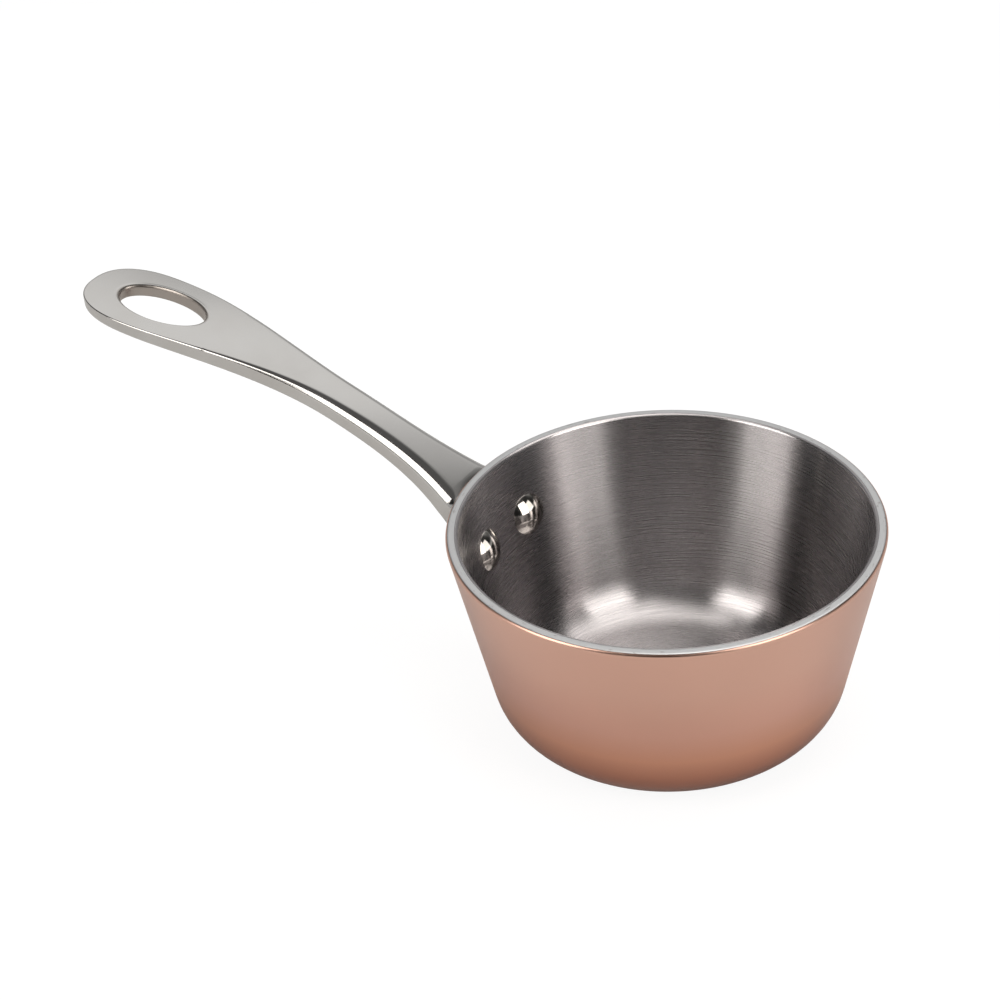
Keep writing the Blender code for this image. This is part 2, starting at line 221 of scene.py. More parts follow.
def pick(piece: Piece, element: Element, test: Callable[[Any], bool]) -> int:
    """Select the points, edges or faces that pass a test, and nothing else.

    Args:
        piece: The piece in edit mode.
        element: What to select.
        test: Says whether one point, edge or face is wanted.

    Returns:
        How many were selected.
    """
    bpy.ops.mesh.select_mode(type=element.value)
    bpy.ops.mesh.select_all(action="DESELECT")
    build = bmesh.from_edit_mesh(piece.data)
    found = {
        Element.POINTS: build.verts,
        Element.EDGES: build.edges,
        Element.FACES: build.faces,
    }[element]
    wanted = [item for item in found if test(item)]
    for item in wanted:
        item.select_set(True)
    build.select_flush_mode()
    bmesh.update_edit_mesh(piece.data)
    return len(wanted)


def move_picked(piece: Piece, rule: Callable[[Any, Any], Vector]) -> None:
    """Move each selected point to where a rule says.

    Args:
        piece: The piece in edit mode.
        rule: Gives a point's new place from the build and the point.
    """
    build = bmesh.from_edit_mesh(piece.data)
    for point in build.verts:
        if point.select:
            point.co = rule(build, point)
    bmesh.update_edit_mesh(piece.data)


def grow() -> None:
    """Extrude what is selected, and leave the new part where it started."""
    bpy.ops.mesh.extrude_region_move(TRANSFORM_OT_translate={"value": (0.0, 0.0, 0.0)})


def close_up(piece: Piece) -> None:
    """Weld a piece's seams and poles, then turn its faces outward.

    Args:
        piece: The piece.
    """
    begin_edit(piece, Element.POINTS)
    bpy.ops.mesh.remove_doubles(threshold=WELD)
    bpy.ops.mesh.normals_make_consistent(inside=False)
    end_edit()


def turn_outline(name: str, points: Outline, steps: int) -> Piece:
    """Draw an outline that starts and ends on the axis, and spin it into a closed solid.

    Args:
        name: The piece's name.
        points: The outline's (radius, height) points.
        steps: How many facets go round.

    Returns:
        The turned piece.
    """
    places = [Vector((radius, 0.0, height)) for radius, height in points]
    bpy.ops.object.select_all(action="DESELECT")
    bpy.ops.mesh.primitive_plane_add(size=MM, location=places[0])
    piece = settle(name)
    begin_edit(piece, Element.POINTS)
    bpy.ops.mesh.merge(type="CENTER")
    for here, there in zip(places, places[1:]):
        bpy.ops.mesh.extrude_region_move(TRANSFORM_OT_translate={"value": there - here})
    bpy.ops.mesh.select_all(action="SELECT")
    bpy.ops.mesh.spin(steps=steps, angle=2 * math.pi, center=(0, 0, 0), axis=(0, 0, 1))
    end_edit()
    close_up(piece)
    return piece


def modify(piece: Piece, kind: str, **settings: Any) -> None:
    """Add a modifier to a piece and apply it.

    Args:
        piece: The piece.
        kind: The modifier's type.
        settings: The modifier's properties.
    """
    take(piece)
    bpy.ops.object.modifier_add(type=kind)
    modifier = piece.modifiers[-1]
    for key, value in settings.items():
        setattr(modifier, key, value)
    bpy.ops.object.modifier_apply(modifier=modifier.name)


def combine(piece: Piece, tool: Piece, cut: Cut) -> None:
    """Drill, join or trim a piece with another solid, which is then gone."""
    modify(piece, "BOOLEAN", operation=cut.value, solver="EXACT", object=tool)
    bpy.data.objects.remove(tool, do_unlink=True)


def smooth(piece: Piece, angle: float) -> None:
    """Shade a piece smooth, its large faces leading.

    Args:
        piece: The piece.
        angle: The sharpest edge that still shades smooth, in degrees.
    """
    take(piece)
    bpy.ops.object.shade_smooth_by_angle(angle=math.radians(angle))
    modify(piece, "WEIGHTED_NORMAL", mode="FACE_AREA", keep_sharp=True)


def hand_over(piece: Piece, node: str, material: bpy.types.Material) -> None:
    """Dress a finished piece and let it stand for its CAD node.

    Args:
        piece: The finished piece.
        node: The CAD node that it stands for.
        material: The finish.
    """
    piece.data.materials.clear()
    piece.data.materials.append(material)
    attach(piece, "root")
    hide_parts(node)
    LOG.info("%s stands for %s: %d faces", piece.name, node, len(piece.data.polygons))


def even(start: float, end: float, steps: int) -> list[float]:
    """Evenly spaced values from start to end, both ends included."""
    return [start + (end - start) * step / steps for step in range(steps + 1)]


def eased(span: float, share: float) -> float:
    """The part of a span that a share of the way covers, with a gentle start and end."""
    share = min(max(share, 0.0), 1.0)
    return span * share * share * (3 - 2 * share)


def sines(angles: Iterable[float]) -> list[float]:
    """Sines of some angles in degrees."""
    return [math.sin(math.radians(angle)) for angle in angles]


def around(middle: float, play: float) -> dict[str, float]:
    """Limits of a roughness that strays by a play either side of its middle."""
    return {"To Min": middle - play, "To Max": middle + play}


@dataclass(frozen=True)
class PanShape:
    """The pan's turned shape and the place of its rivets."""

    rim_radius: float = 0.0452
    height: float = 0.0461
    lean: float = math.radians(12.6)
    foot_radius: float = 0.0128
    outer_round: float = 0.00101
    inner_round: float = 0.0005
    wall: float = 0.0026
    rivet_drop: float = 0.0141
    rivet_turn: float = math.radians(11.4)
    wall_rows: int = 20
    foot_rows: int = 14
    rim_rows: int = 10
    steps: int = 192
    bore: float = 0.0025
    tail_floor: float = 0.0055

    def wall_radius(self, inset: float, height: float) -> float:
        """Radius of the straight wall face at an inset and a height."""
        fall = (self.height - height) * math.tan(self.lean)
        return self.rim_radius - inset / math.cos(self.lean) - fall

    def rim_height(self, inset: float) -> float:
        """Height of the cut rim, rounded off at both edges.

        Args:
            inset: Depth inside the pan's outermost face.

        Returns:
            The height.
        """
        outer = max(self.outer_round - inset, 0.0)
        inner = max(self.inner_round - (self.wall - inset), 0.0)
        outer_drop = self.outer_round - math.sqrt(self.outer_round**2 - outer**2)
        inner_drop = self.inner_round - math.sqrt(self.inner_round**2 - inner**2)
        return self.height - outer_drop - inner_drop

    def skin(self, inset: float) -> Outline:
        """Outline of one face of the sheet, from the top of the wall to the axis.

        Args:
            inset: The face's depth inside the outermost one.

        Returns:
            The (radius, height) points.
        """
        centre = self.wall_radius(self.foot_radius, self.foot_radius)
        radius = self.foot_radius - inset
        foot_top = self.foot_radius - radius * math.sin(self.lean)
        points = []
        for height in even(self.rim_height(inset), foot_top, self.wall_rows)[1:-1]:
            points.append((self.wall_radius(inset, height), height))
        for angle in even(self.lean, math.pi / 2, self.foot_rows):
            rise = self.foot_radius - radius * math.sin(angle)
            points.append((centre + radius * math.cos(angle), rise))
        points.append((centre / 2, inset))
        points.append((0.0, inset))
        return points

    def rim(self, outer: float, inner: float) -> Outline:
        """Outline across one layer's rim, crowded toward its edges.

        Args:
            outer: Inset of the layer's outer face.
            inner: Inset of its inner face, where the outline starts.

        Returns:
            The (radius, height) points.
        """
        turns = even(0.0, math.pi, self.rim_rows)
        insets = [inner + (outer - inner) * (1 - math.cos(turn)) / 2 for turn in turns]
        return [(self.wall_radius(i, self.rim_height(i)), self.rim_height(i)) for i in insets]

    def rivet_height(self) -> float:
        """Height at which the rivets cross the inner wall face."""
        return self.height - self.rivet_drop

    def stand_on_wall(self, piece: Piece, side: Side) -> None:
        """Stand a piece on the inner wall face at a rivet, its +Z square out of the wall.

        Args:
            piece: The piece, built at the origin.
            side: The rivet.
        """
        turn = side.value * self.rivet_turn
        reach = self.wall_radius(self.wall, self.rivet_height())
        piece.location = (reach * math.cos(turn), reach * math.sin(turn), self.rivet_height())
        piece.rotation_euler = (0.0, math.pi / 2 + self.lean, turn)
        take(piece)
        bpy.ops.object.transform_apply(location=True, rotation=True, scale=True)

    def on_wall(self, across: float, along: float, out: float) -> Vector:
        """A point at a distance out from the wall, near the rivets.

        Args:
            across: Distance along +Y.
            along: Distance up along the wall from the rivets.
            out: Distance out from the copper face.

        Returns:
            The point.
        """
        height = self.rivet_height() + along * math.cos(self.lean)
        height -= (self.wall + out) * math.sin(self.lean)
        radius = self.wall_radius(-out, height)
        return Vector((math.sqrt(radius**2 - across**2), across, height))


@dataclass(frozen=True)
class SatinCopper:
    """Copper sheet polished to a satin on a soft wheel.

    To the eye: a rosy metal whose reflections are softened to broad, even light, with a faint
    cloudiness from the wheel, and painted shade that makes it deeper and redder toward the foot.
    """

    name: str = "copper_satin_polished_painted_foot_shade"
    # The lower stops are painted shade: the colour darkens and reddens toward the foot, where the
    # copper mirrors the floor in the pan's shadow. The upper stops are the copper's own colour.
    tones: tuple[tuple[float, str], ...] = (
        (0.002, "#9b6652"), (0.008, "#b27d69"), (0.0145, "#d69f85"), (0.022, "#daaa98"),
        (0.034, "#dcb19f"),
    )
    cloud_share: float = 0.97
    roughness: float = 0.30
    roughness_play: float = 0.01
    cloud_mm: float = 20.0

    def material(self) -> bpy.types.Material:
        """Make the material.

        Returns:
            The material.
        """
        made, add, shader = new_material(self.name)
        where = add("TexCoord", output="Object")
        height = add("SeparateXYZ", links={0: where}, output="Z")
        reach = self.tones[-1][0]
        share = add("Math", {"operation": "DIVIDE", 1: reach}, {0: height})
        stops = [(level / reach, linear(code)) for level, code in self.tones]
        # Painted shade: this ramp darkens the copper toward the foot.
        tone_and_painted_foot_shade = add("ValToRGB", {"stops": stops}, {"Fac": share})
        wheel = {"Scale": 1 / (self.cloud_mm * MM), "Detail": 0.0}
        cloud = add("TexNoise", wheel, {"Vector": where})
        shade = add("MapRange", NOISE_SPREAD | {"To Min": self.cloud_share}, {"Value": cloud})
        colour = add("VectorMath", {"operation": "SCALE"}, {0: tone_and_painted_foot_shade, "Scale": shade})
        limits = around(self.roughness, self.roughness_play)
        rough = add("MapRange", NOISE_SPREAD | limits, {"Value": cloud})
        wire(shader, {"Metallic": 1.0}, {"Base Color": colour, "Roughness": rough})
        return made


def ring_coordinates(add: Adder, where: Socket, streaks: float, width_mm: float) -> Socket:
    """Coordinates for a pattern that runs round the pan's axis, on its wall and its floor alike.

    Args:
        add: Adds a node to the material.
        where: Object coordinates.
        streaks: How many streaks fit in one radian.
        width_mm: Width of one streak, measured along the profile.

    Returns:
        The coordinates, without a seam.
    """
    flat = add("VectorMath", {"operation": "MULTIPLY", 1: LEVEL_PART}, {0: where})
    radius = add("VectorMath", {"operation": "LENGTH"}, {0: flat}, "Value")
    heading = add("VectorMath", {"operation": "NORMALIZE"}, {0: flat})
    turned = add("VectorMath", {"operation": "SCALE", "Scale": streaks}, {0: heading})
    height = add("SeparateXYZ", links={0: where}, output="Z")
    profile = add("Math", {"operation": "ADD"}, {0: radius, 1: height})
    rows = add("Math", {"operation": "MULTIPLY", 1: 1 / (width_mm * MM)}, {0: profile})
    lift = add("CombineXYZ", links={"Z": rows})
    return add("VectorMath", {"operation": "ADD"}, {0: turned, 1: lift})


@dataclass(frozen=True)
class BrushedLiner:
    """Stainless steel sheet, brushed round the pan's axis with an abrasive belt.

    To the eye: lights spread up and down the wall into bands and fan out on the floor, crossed by
    fine bright and dark lines that run round the pan, and by a few scratches on a slant.
    """

    name: str = "stainless_steel_brushed_round"
    bright: str = "#aeaaaa"
    deep: str = "#9d999a"
    roughness: float = 0.27
    roughness_play: float = 0.03
    spread_turn: float = 0.25
    tone_limits: tuple[float, float] = (0.75, 1.25)
    relief: float = 0.07
    # The real lines are finer than this; they are as wide as they need to be to show.
    line_mm: float = 0.13
    line_streaks: float = 1.0
    line_detail: float = 4.0
    line_contrast: float = 0.65
    line_depth: float = 0.000003
    scratch_mm: float = 0.5
    scratch_streaks: float = 2.2
    scratch_contrast: float = 0.7
    scratch_lean: tuple[float, float, float] = (math.radians(5.0), math.radians(-4.0), 0.0)

    def material(self) -> bpy.types.Material:
        """Make the material.

        Returns:
            The material.
        """
        made, add, shader = new_material(self.name)
        where = add("TexCoord", output="Object")
        rings = ring_coordinates(add, where, self.line_streaks, self.line_mm)
        belt = {"Scale": 1.0, "Detail": self.line_detail, "Roughness": self.line_contrast}
        lines = add("TexNoise", belt, {"Vector": rings})
        tilted = add("Mapping", {"Rotation": self.scratch_lean}, {"Vector": where})
        slant = ring_coordinates(add, tilted, self.scratch_streaks, self.scratch_mm)
        rubs = {"Scale": 1.0, "Detail": FINE_DETAIL, "Roughness": self.scratch_contrast}
        scratches = add("TexNoise", rubs, {"Vector": slant})
        both = add("Math", {"operation": "ADD"}, {0: lines, 1: scratches})
        spread = {"From Min": self.tone_limits[0], "From Max": self.tone_limits[1]}
        tint = add("MapRange", spread, {"Value": both})
        tones = {"data_type": "RGBA", 6: linear(self.deep), 7: linear(self.bright)}
        colour = add("Mix", tones, {0: tint}, 2)
        # The bright lines are the smoother ones, so the roughness falls as the tone rises.
        limits = around(self.roughness, -self.roughness_play)
        rough = add("MapRange", spread | limits, {"Value": both})
        relief = {"Strength": self.relief, "Distance": self.line_depth}
        bump = add("Bump", relief, {"Height": both})
        tangent = add("Tangent", {"direction_type": "RADIAL", "axis": "Z"})
        wire(
            shader,
            {"Metallic": 1.0, "Anisotropic": 1.0, "Anisotropic Rotation": self.spread_turn},
            {"Base Color": colour, "Roughness": rough, "Normal": bump, "Tangent": tangent},
        )
        return made


@dataclass(frozen=True)
class TurnedEdge:
    """Cut edge of the aluminium layer, faced off on a lathe.

    To the eye: a matt silver ring with hair-fine turning lines and a few dark nicks.
    """

    name: str = "aluminium_turned_edge"
    bright: str = "#cdcdcd"
    nick: str = "#a8a5a3"
    roughness: float = 0.42
    relief: float = 0.4
    # The real lines are finer than this; they are as wide as they need to be to show.
    line_mm: float = 0.12
    line_streaks: float = 14.0
    line_depth: float = 0.00001
    nick_mm: float = 0.5
    nick_streaks: float = 22.0
    nick_limits: tuple[float, float] = (0.62, 0.72)

    def material(self) -> bpy.types.Material:
        """Make the material.

        Returns:
            The material.
        """
        made, add, shader = new_material(self.name)
        where = add("TexCoord", output="Object")
        noise = {"Scale": 1.0, "Detail": FINE_DETAIL}
        rings = ring_coordinates(add, where, self.line_streaks, self.line_mm)
        lines = add("TexNoise", noise, {"Vector": rings})
        dots = ring_coordinates(add, where, self.nick_streaks, self.nick_mm)
        specks = add("TexNoise", noise, {"Vector": dots})
        start, end = self.nick_limits
        share = add("MapRange", {"From Min": start, "From Max": end}, {"Value": specks})
        tones = {"data_type": "RGBA", 6: linear(self.bright), 7: linear(self.nick)}
        colour = add("Mix", tones, {0: share}, 2)
        height = add("Math", {"operation": "SUBTRACT"}, {0: lines, 1: share})
        relief = {"Strength": self.relief, "Distance": self.line_depth}
        bump = add("Bump", relief, {"Height": height})
        plain = {"Metallic": 1.0, "Roughness": self.roughness}
        wire(shader, plain, {"Base Color": colour, "Normal": bump})
        return made


@dataclass(frozen=True)
class CastSteel:
    """Stainless steel casting, polished to a soft shine along its length.

    To the eye: a clear but slightly clouded mirror with crisp lines along its edges, faint
    grinding marks that cross its sides, and a duller wall in the hole, which the polishing belt
    doesn't reach; the darker, browner colour there is painted shade in the recess.
    """

    hole_reach: float
    hole_half_length: float
    hole_half_width: float
    name: str = "stainless_steel_cast_polished"
    hole_tone_and_painted_shade: str = "#a8a099"
    hole_roughness: float = 0.34
    hole_edge: tuple[float, float] = (1.02, 1.09)
    bright: str = "#cfcdca"
    deep: str = "#bdbab6"
    roughness: float = 0.15
    roughness_play: float = 0.04
    cloud_mm: float = 9.0
    mark_mm: tuple[float, float, float] = (0.30, 4.0, 6.0)
    relief: float = 0.2
    mark_depth: float = 0.00001

    def material(self) -> bpy.types.Material:
        """Make the material.

        Returns:
            The material.
        """
        made, add, shader = new_material(self.name)
        where = add("TexCoord", output="Object")
        belt = {"Scale": 1 / (self.cloud_mm * MM), "Detail": FINE_DETAIL}
        cloud = add("TexNoise", belt, {"Vector": where})
        tones = {"data_type": "RGBA", 6: linear(self.deep), 7: linear(self.bright)}
        polished = add("Mix", tones, {0: cloud}, 2)
        outside = self.outside_hole(add, where)
        # The hole's darker, browner colour is painted shade in the recess; its higher roughness is
        # the duller cast surface.
        dull_and_shaded_hole = {"data_type": "RGBA", 6: linear(self.hole_tone_and_painted_shade)}
        colour = add("Mix", dull_and_shaded_hole, {0: outside, 7: polished}, 2)
        limits = around(self.roughness, self.roughness_play)
        shine = add("MapRange", NOISE_SPREAD | limits, {"Value": cloud})
        matt = {"data_type": "FLOAT", 2: self.hole_roughness}
        rough = add("Mix", matt, {0: outside, 3: shine})
        scale = tuple(1 / (size * MM) for size in self.mark_mm)
        stretched = add("VectorMath", {"operation": "MULTIPLY", 1: scale}, {0: where})
        marks = add("TexNoise", {"Scale": 1.0, "Detail": FINE_DETAIL}, {"Vector": stretched})
        relief = {"Strength": self.relief, "Distance": self.mark_depth}
        bump = add("Bump", relief, {"Height": marks})
        wire(shader, {"Metallic": 1.0}, {"Base Color": colour, "Roughness": rough, "Normal": bump})
        return made

    def outside_hole(self, add: Adder, where: Socket) -> Socket:
        """Share that is 0 on the hole's wall and 1 beyond its rounded edge.

        Args:
            add: Adds a node to the material.
            where: Object coordinates.

        Returns:
            The share.
        """
        middle = {"operation": "SUBTRACT", 1: (self.hole_reach, 0.0, 0.0)}
        centred = add("VectorMath", middle, {0: where})
        scale = (1 / self.hole_half_length, 1 / self.hole_half_width, 0.0)
        turned = add("VectorMath", {"operation": "MULTIPLY", 1: scale}, {0: centred})
        radius = add("VectorMath", {"operation": "LENGTH"}, {0: turned}, "Value")
        start, end = self.hole_edge
        fade = {"interpolation_type": "SMOOTHSTEP", "From Min": start, "From Max": end}
        return add("MapRange", fade, {"Value": radius})


@dataclass(frozen=True)
class PolishedRivet:
    """Stainless steel rivet, its head set under a polished die.

    To the eye: a bright small mirror with a few hairline rubs.
    """

    name: str = "stainless_steel_die_polished"
    bright: str = "#dcd7d0"
    deep: str = "#c9c4bd"
    roughness: float = 0.09
    relief: float = 0.2
    rub_mm: float = 0.5
    rub_depth: float = 0.000004

    def material(self) -> bpy.types.Material:
        """Make the material.

        Returns:
            The material.
        """
        made, add, shader = new_material(self.name)
        where = add("TexCoord", output="Object")
        wear = {"Scale": 1 / (self.rub_mm * MM), "Detail": FINE_DETAIL}
        rubs = add("TexNoise", wear, {"Vector": where})
        tones = {"data_type": "RGBA", 6: linear(self.deep), 7: linear(self.bright)}
        colour = add("Mix", tones, {0: rubs}, 2)
        relief = {"Strength": self.relief, "Distance": self.rub_depth}
        bump = add("Bump", relief, {"Height": rubs})
        plain = {"Metallic": 1.0, "Roughness": self.roughness}
        wire(shader, plain, {"Base Color": colour, "Normal": bump})
        return made


@dataclass
class PanBody:
    """The pan: three bonded layers of sheet, drilled for both rivets."""

    shape: PanShape
    copper: float = 0.0005
    aluminium: float = 0.0014
    steel: float = 0.0006
    bond: float = 0.00005

    def layer(self, name: str, outer: float, inner: float) -> Piece:
        """Turn one layer and drill it.

        Args:
            name: The piece's name.
            outer: Inset of its outer face.
            inner: Inset of its inner face.

        Returns:
            The finished layer.
        """
        outline = self.shape.skin(inner)[::-1]
        outline += self.shape.rim(outer, inner) + self.shape.skin(outer)
        piece = turn_outline(name, outline, self.shape.steps)
        half, bore = 2 * self.shape.wall, self.shape.bore
        for side in Side:
            outline = [(0.0, half), (bore, half), (bore, -half), (0.0, -half)]
            drill = turn_outline("drill", outline, DRILL_STEPS)
            self.shape.stand_on_wall(drill, side)
            combine(piece, drill, Cut.DRILL)
        smooth(piece, SHEET_ANGLE)
        return piece

    def build(self) -> None:
        """Build and dress the three layers."""
        core = self.copper + self.bond
        liner = core + self.aluminium + self.bond
        copper = self.layer("pan_copper", 0.0, self.copper)
        hand_over(copper, "copper_shell", SatinCopper().material())
        middle = self.layer("pan_core", core, core + self.aluminium)
        hand_over(middle, "aluminium_core", TurnedEdge().material())
        inside = self.layer("pan_liner", liner, liner + self.steel)
        hand_over(inside, "steel_liner", BrushedLiner().material())


@dataclass
class Rivet:
    """A rivet: domed head inside the pan, shank, and upset tail outside."""

    shape: PanShape
    side: Side
    head_radius: float = 0.0045
    head_height: float = 0.0020
    head_edge: float = 0.0003
    shank_radius: float = 0.0022
    tail_radius: float = 0.0030
    tail_height: float = 0.0011
    tail_edge: float = 0.0002
    sunk: float = 0.0004
    steps: int = 96
    rows: int = 16
    edge_rows: int = 5

    def dome(self, radius: float, height: float, edge: float, level: float, up: int) -> Outline:
        """Outline of a dome with a rounded edge, from its crown out and down.

        Args:
            radius: The dome's radius.
            height: Its height.
            edge: Radius of its edge.
            level: The level that it stands on.
            up: 1 or -1, the way that it rises.

        Returns:
            The (radius, height) points.
        """
        core = radius - edge
        sphere = (core**2 + height**2 - edge**2) / (2 * (height - edge))
        spread = math.asin(core / (sphere - edge))
        points = []
        for turn in even(0.0, spread, self.rows):
            rise = height - sphere * (1 - math.cos(turn))
            points.append((sphere * math.sin(turn), level + up * rise))
        for turn in even(spread, math.pi / 2, self.edge_rows)[1:]:
            points.append((core + edge * math.sin(turn), level + up * edge * math.cos(turn)))
        return points

    def build(self, finish: bpy.types.Material) -> None:
        """Build and dress the rivet.

        Args:
            finish: The polished steel.
        """
        name = f"rivet_{self.side.name.lower()}"
        shape, sunk = self.shape, self.sunk
        head = self.dome(self.head_radius, self.head_height, self.head_edge, 0.0, -1)
        head += [(self.head_radius, sunk), (0.0, sunk)]
        piece = turn_outline(f"pan_{name}", head, self.steps)
        shape.stand_on_wall(piece, self.side)
        lip = shape.wall_radius(shape.wall, shape.height)
        hollow = [(0.0, shape.height), (lip, shape.height)] + shape.skin(shape.wall)
        combine(piece, turn_outline("cavity", hollow, shape.steps), Cut.TRIM)
        floor = shape.tail_floor
        tail = self.dome(self.tail_radius, self.tail_height, self.tail_edge, floor, 1)
        tail += [(self.shank_radius, floor), (self.shank_radius, -sunk), (0.0, -sunk)]
        stem = turn_outline("stem", tail, self.steps)
        shape.stand_on_wall(stem, self.side)
        combine(piece, stem, Cut.JOIN)
        smooth(piece, SHEET_ANGLE)
        hand_over(piece, name, finish)


@dataclass
class CastHandle:
    """The cast handle: paddle with its hanging hole, bent neck, flared root and flange."""

    shape: PanShape
    length: float = 0.1010
    root_offset: float = 0.0048
    root_drop: float = 0.00275
    root_slope: float = math.radians(26.0)
    tip_slope: float = math.radians(5.5)
    bend_radius: float = 0.2120
    waist_half_width: float = 0.00485
    paddle_half_width: float = 0.01075
    paddle_tip_length: float = 0.0160
    waist_to_paddle: float = 0.0515
    tip_fullness: float = 2.4
    flare_gain: float = 0.0027
    flare_power: float = 3.3
    tip_thickness: float = 0.0028
    root_thickness: float = 0.0055
    root_deepening: float = 0.0008
    top_crown: float = 0.0002
    shoulder_paddle: float = 0.0003
    shoulder_neck: float = 0.0025
    shoulder_start: float = 0.0540
    shoulder_end: float = 0.1220
    under_round: float = 0.0006
    side_draft: float = math.radians(2.5)
    draft_run: float = 0.3
    hole_half_length: float = 0.0110
    hole_half_width: float = 0.0059
    hole_from_tip: float = 0.0191
    hole_round: float = 0.0007
    flange_half_width: float = 0.0134
    flange_half_height: float = 0.0091
    flange_rise: float = 0.0028
    flange_corner: float = 0.0058
    flange_straight: float = 0.45
    flange_thickness: float = 0.0030
    flange_round: float = 0.0007
    sweep_land: float = 0.0009
    sweep_upper_land: float = 0.0002
    sweep_pull: float = 1.0
    sweep_upper_pull: float = 0.1
    seat: float = 0.00005
    pocket: float = 0.0036
    pocket_top: float = 0.0200
    paddle_start: float = 0.1100
    cap_reach: float = 0.0490
    column: float = 0.0010
    hole_steps: int = 128
    cross_edges: int = 24
    spoke_shares: tuple[float, ...] = (
        0.2, 0.36, 0.5, 0.62, 0.72, 0.8, 0.86, 0.91, 0.945, 0.97, 0.985, 0.995, 1.0
    )
    tip_samples: int = 400
    side_samples: int = 200
    neck_samples: int = 120
    hole_segments: int = 6
    fillet_rings: int = 12
    round_rings: int = 4
    near_hole: float = 1.1
    level_tilt: float = 0.9
    upright_tilt: float = 0.3
    cap_tilt: float = 0.99
    edge: Outline = field(init=False)
    brim: np.ndarray = field(init=False)

    def __post_init__(self) -> None:
        """Work out the reaches and the handle's outline."""
        rim = self.shape.rim_radius
        self.bend_start = rim + self.root_offset
        self.tip_reach = rim + self.length
        self.paddle_reach = self.tip_reach - self.paddle_tip_length
        self.waist_reach = self.paddle_reach - self.waist_to_paddle
        self.hole_reach = self.tip_reach - self.hole_from_tip
        self.edge = self.paddle_edge()
        neck = even(self.paddle_start, self.cap_reach - MM, self.neck_samples)[1:]
        self.brim = np.array(self.edge + [(reach, self.half_width(reach)) for reach in neck])

    def slope(self, reach: float) -> float:
        """Slope angle of the top face."""
        sine = math.sin(self.root_slope) - (reach - self.bend_start) / self.bend_radius
        return math.asin(max(sine, math.sin(self.tip_slope)))

    def top(self, reach: float) -> float:
        """Height of the top face on the centre line.

        Args:
            reach: Distance from the pan's axis.

        Returns:
            The height: an arc from the root, then a straight line to the tip.
        """
        start = self.shape.height - self.root_drop
        turn = math.sin(self.root_slope) - math.sin(self.tip_slope)
        bend_end = self.bend_start + self.bend_radius * turn
        arc = self.bend_radius * (math.cos(self.slope(reach)) - math.cos(self.root_slope))
        return start + arc + max(reach - bend_end, 0.0) * math.tan(self.tip_slope)

    def flare(self, reach: float) -> float:
        """How far the handle has spread toward the wall: 0 at the waist, 1 where the sweep starts."""
        share = (self.waist_reach - reach) / (self.waist_reach - self.cap_reach)
        return max(share, 0.0) ** self.flare_power

    def half_width(self, reach: float) -> float:
        """Half the handle's width in plan.

        Args:
            reach: Distance from the pan's axis.

        Returns:
            The half width, which runs out to nothing round the paddle's tip.
        """
        if reach > self.paddle_reach:
            along = min((reach - self.paddle_reach) / self.paddle_tip_length, 1.0)
            fullness = self.tip_fullness
            return self.paddle_half_width * (1 - along**fullness) ** (1 / fullness)
        share = (reach - self.waist_reach) / (self.paddle_reach - self.waist_reach)
        swell = eased(self.paddle_half_width - self.waist_half_width, share)
        return self.waist_half_width + swell + self.flare_gain * self.flare(reach)

    def thickness(self, reach: float) -> float:
        """Thickness square to the top face.

        Args:
            reach: Distance from the pan's axis.

        Returns:
            The thickness, which grows from the tip to the root.
        """
        share = (self.tip_reach - reach) / (self.tip_reach - self.bend_start)
        taper = (self.root_thickness - self.tip_thickness) * share
        return self.tip_thickness + taper + self.root_deepening * self.flare(reach)

    def shoulder(self, reach: float) -> float:
        """Radius at which the top face rolls down to a side."""
        share = (self.shoulder_end - reach) / (self.shoulder_end - self.shoulder_start)
        return self.shoulder_paddle + eased(self.shoulder_neck - self.shoulder_paddle, share)

    def edge_distance(self, reach: float, across: float) -> float:
        """Distance of a point from the handle's outline, in the flat.

        Args:
            reach: The point's distance from the pan's axis.
            across: Its distance from the centre line.

        Returns:
            The distance.
        """
        point = np.array((reach, abs(across)))
        starts, runs = self.brim[:-1], np.diff(self.brim, axis=0)
        along = ((point - starts) * runs).sum(axis=1) / (runs * runs).sum(axis=1)
        near = starts + runs * np.clip(along, 0.0, 1.0)[:, None]
        return float(np.hypot(*(point - near).T).min())

    def top_level(self, reach: float, across: float) -> float:
        """Level of the top face, which is crowned and rolls down at its edges.

        Args:
            reach: A point's distance from the pan's axis.
            across: Its distance from the centre line.

        Returns:
            The level, 0 in the middle of the face.
        """
        radius = self.shoulder(reach)
        rolled = min(max(1 - self.edge_distance(reach, across) / radius, 0.0), 1.0)
        drop = radius * (1 - math.sqrt(1 - rolled * rolled))
        share = min(abs(across) / self.half_width(min(reach, self.paddle_reach)), 1.0)
        return -drop - self.top_crown * share**2

    def under_level(self, reach: float, across: float) -> float:
        """Level of the underside, which is rounded at its edges.

        Args:
            reach: A point's distance from the pan's axis.
            across: Its distance from the centre line.

        Returns:
            The level below the top face.
        """
        inside = min(self.edge_distance(reach, across) / self.under_round, 1.0)
        lift = self.under_round * (1 - math.sqrt(1 - (1 - inside) ** 2))
        return lift - self.thickness(reach)

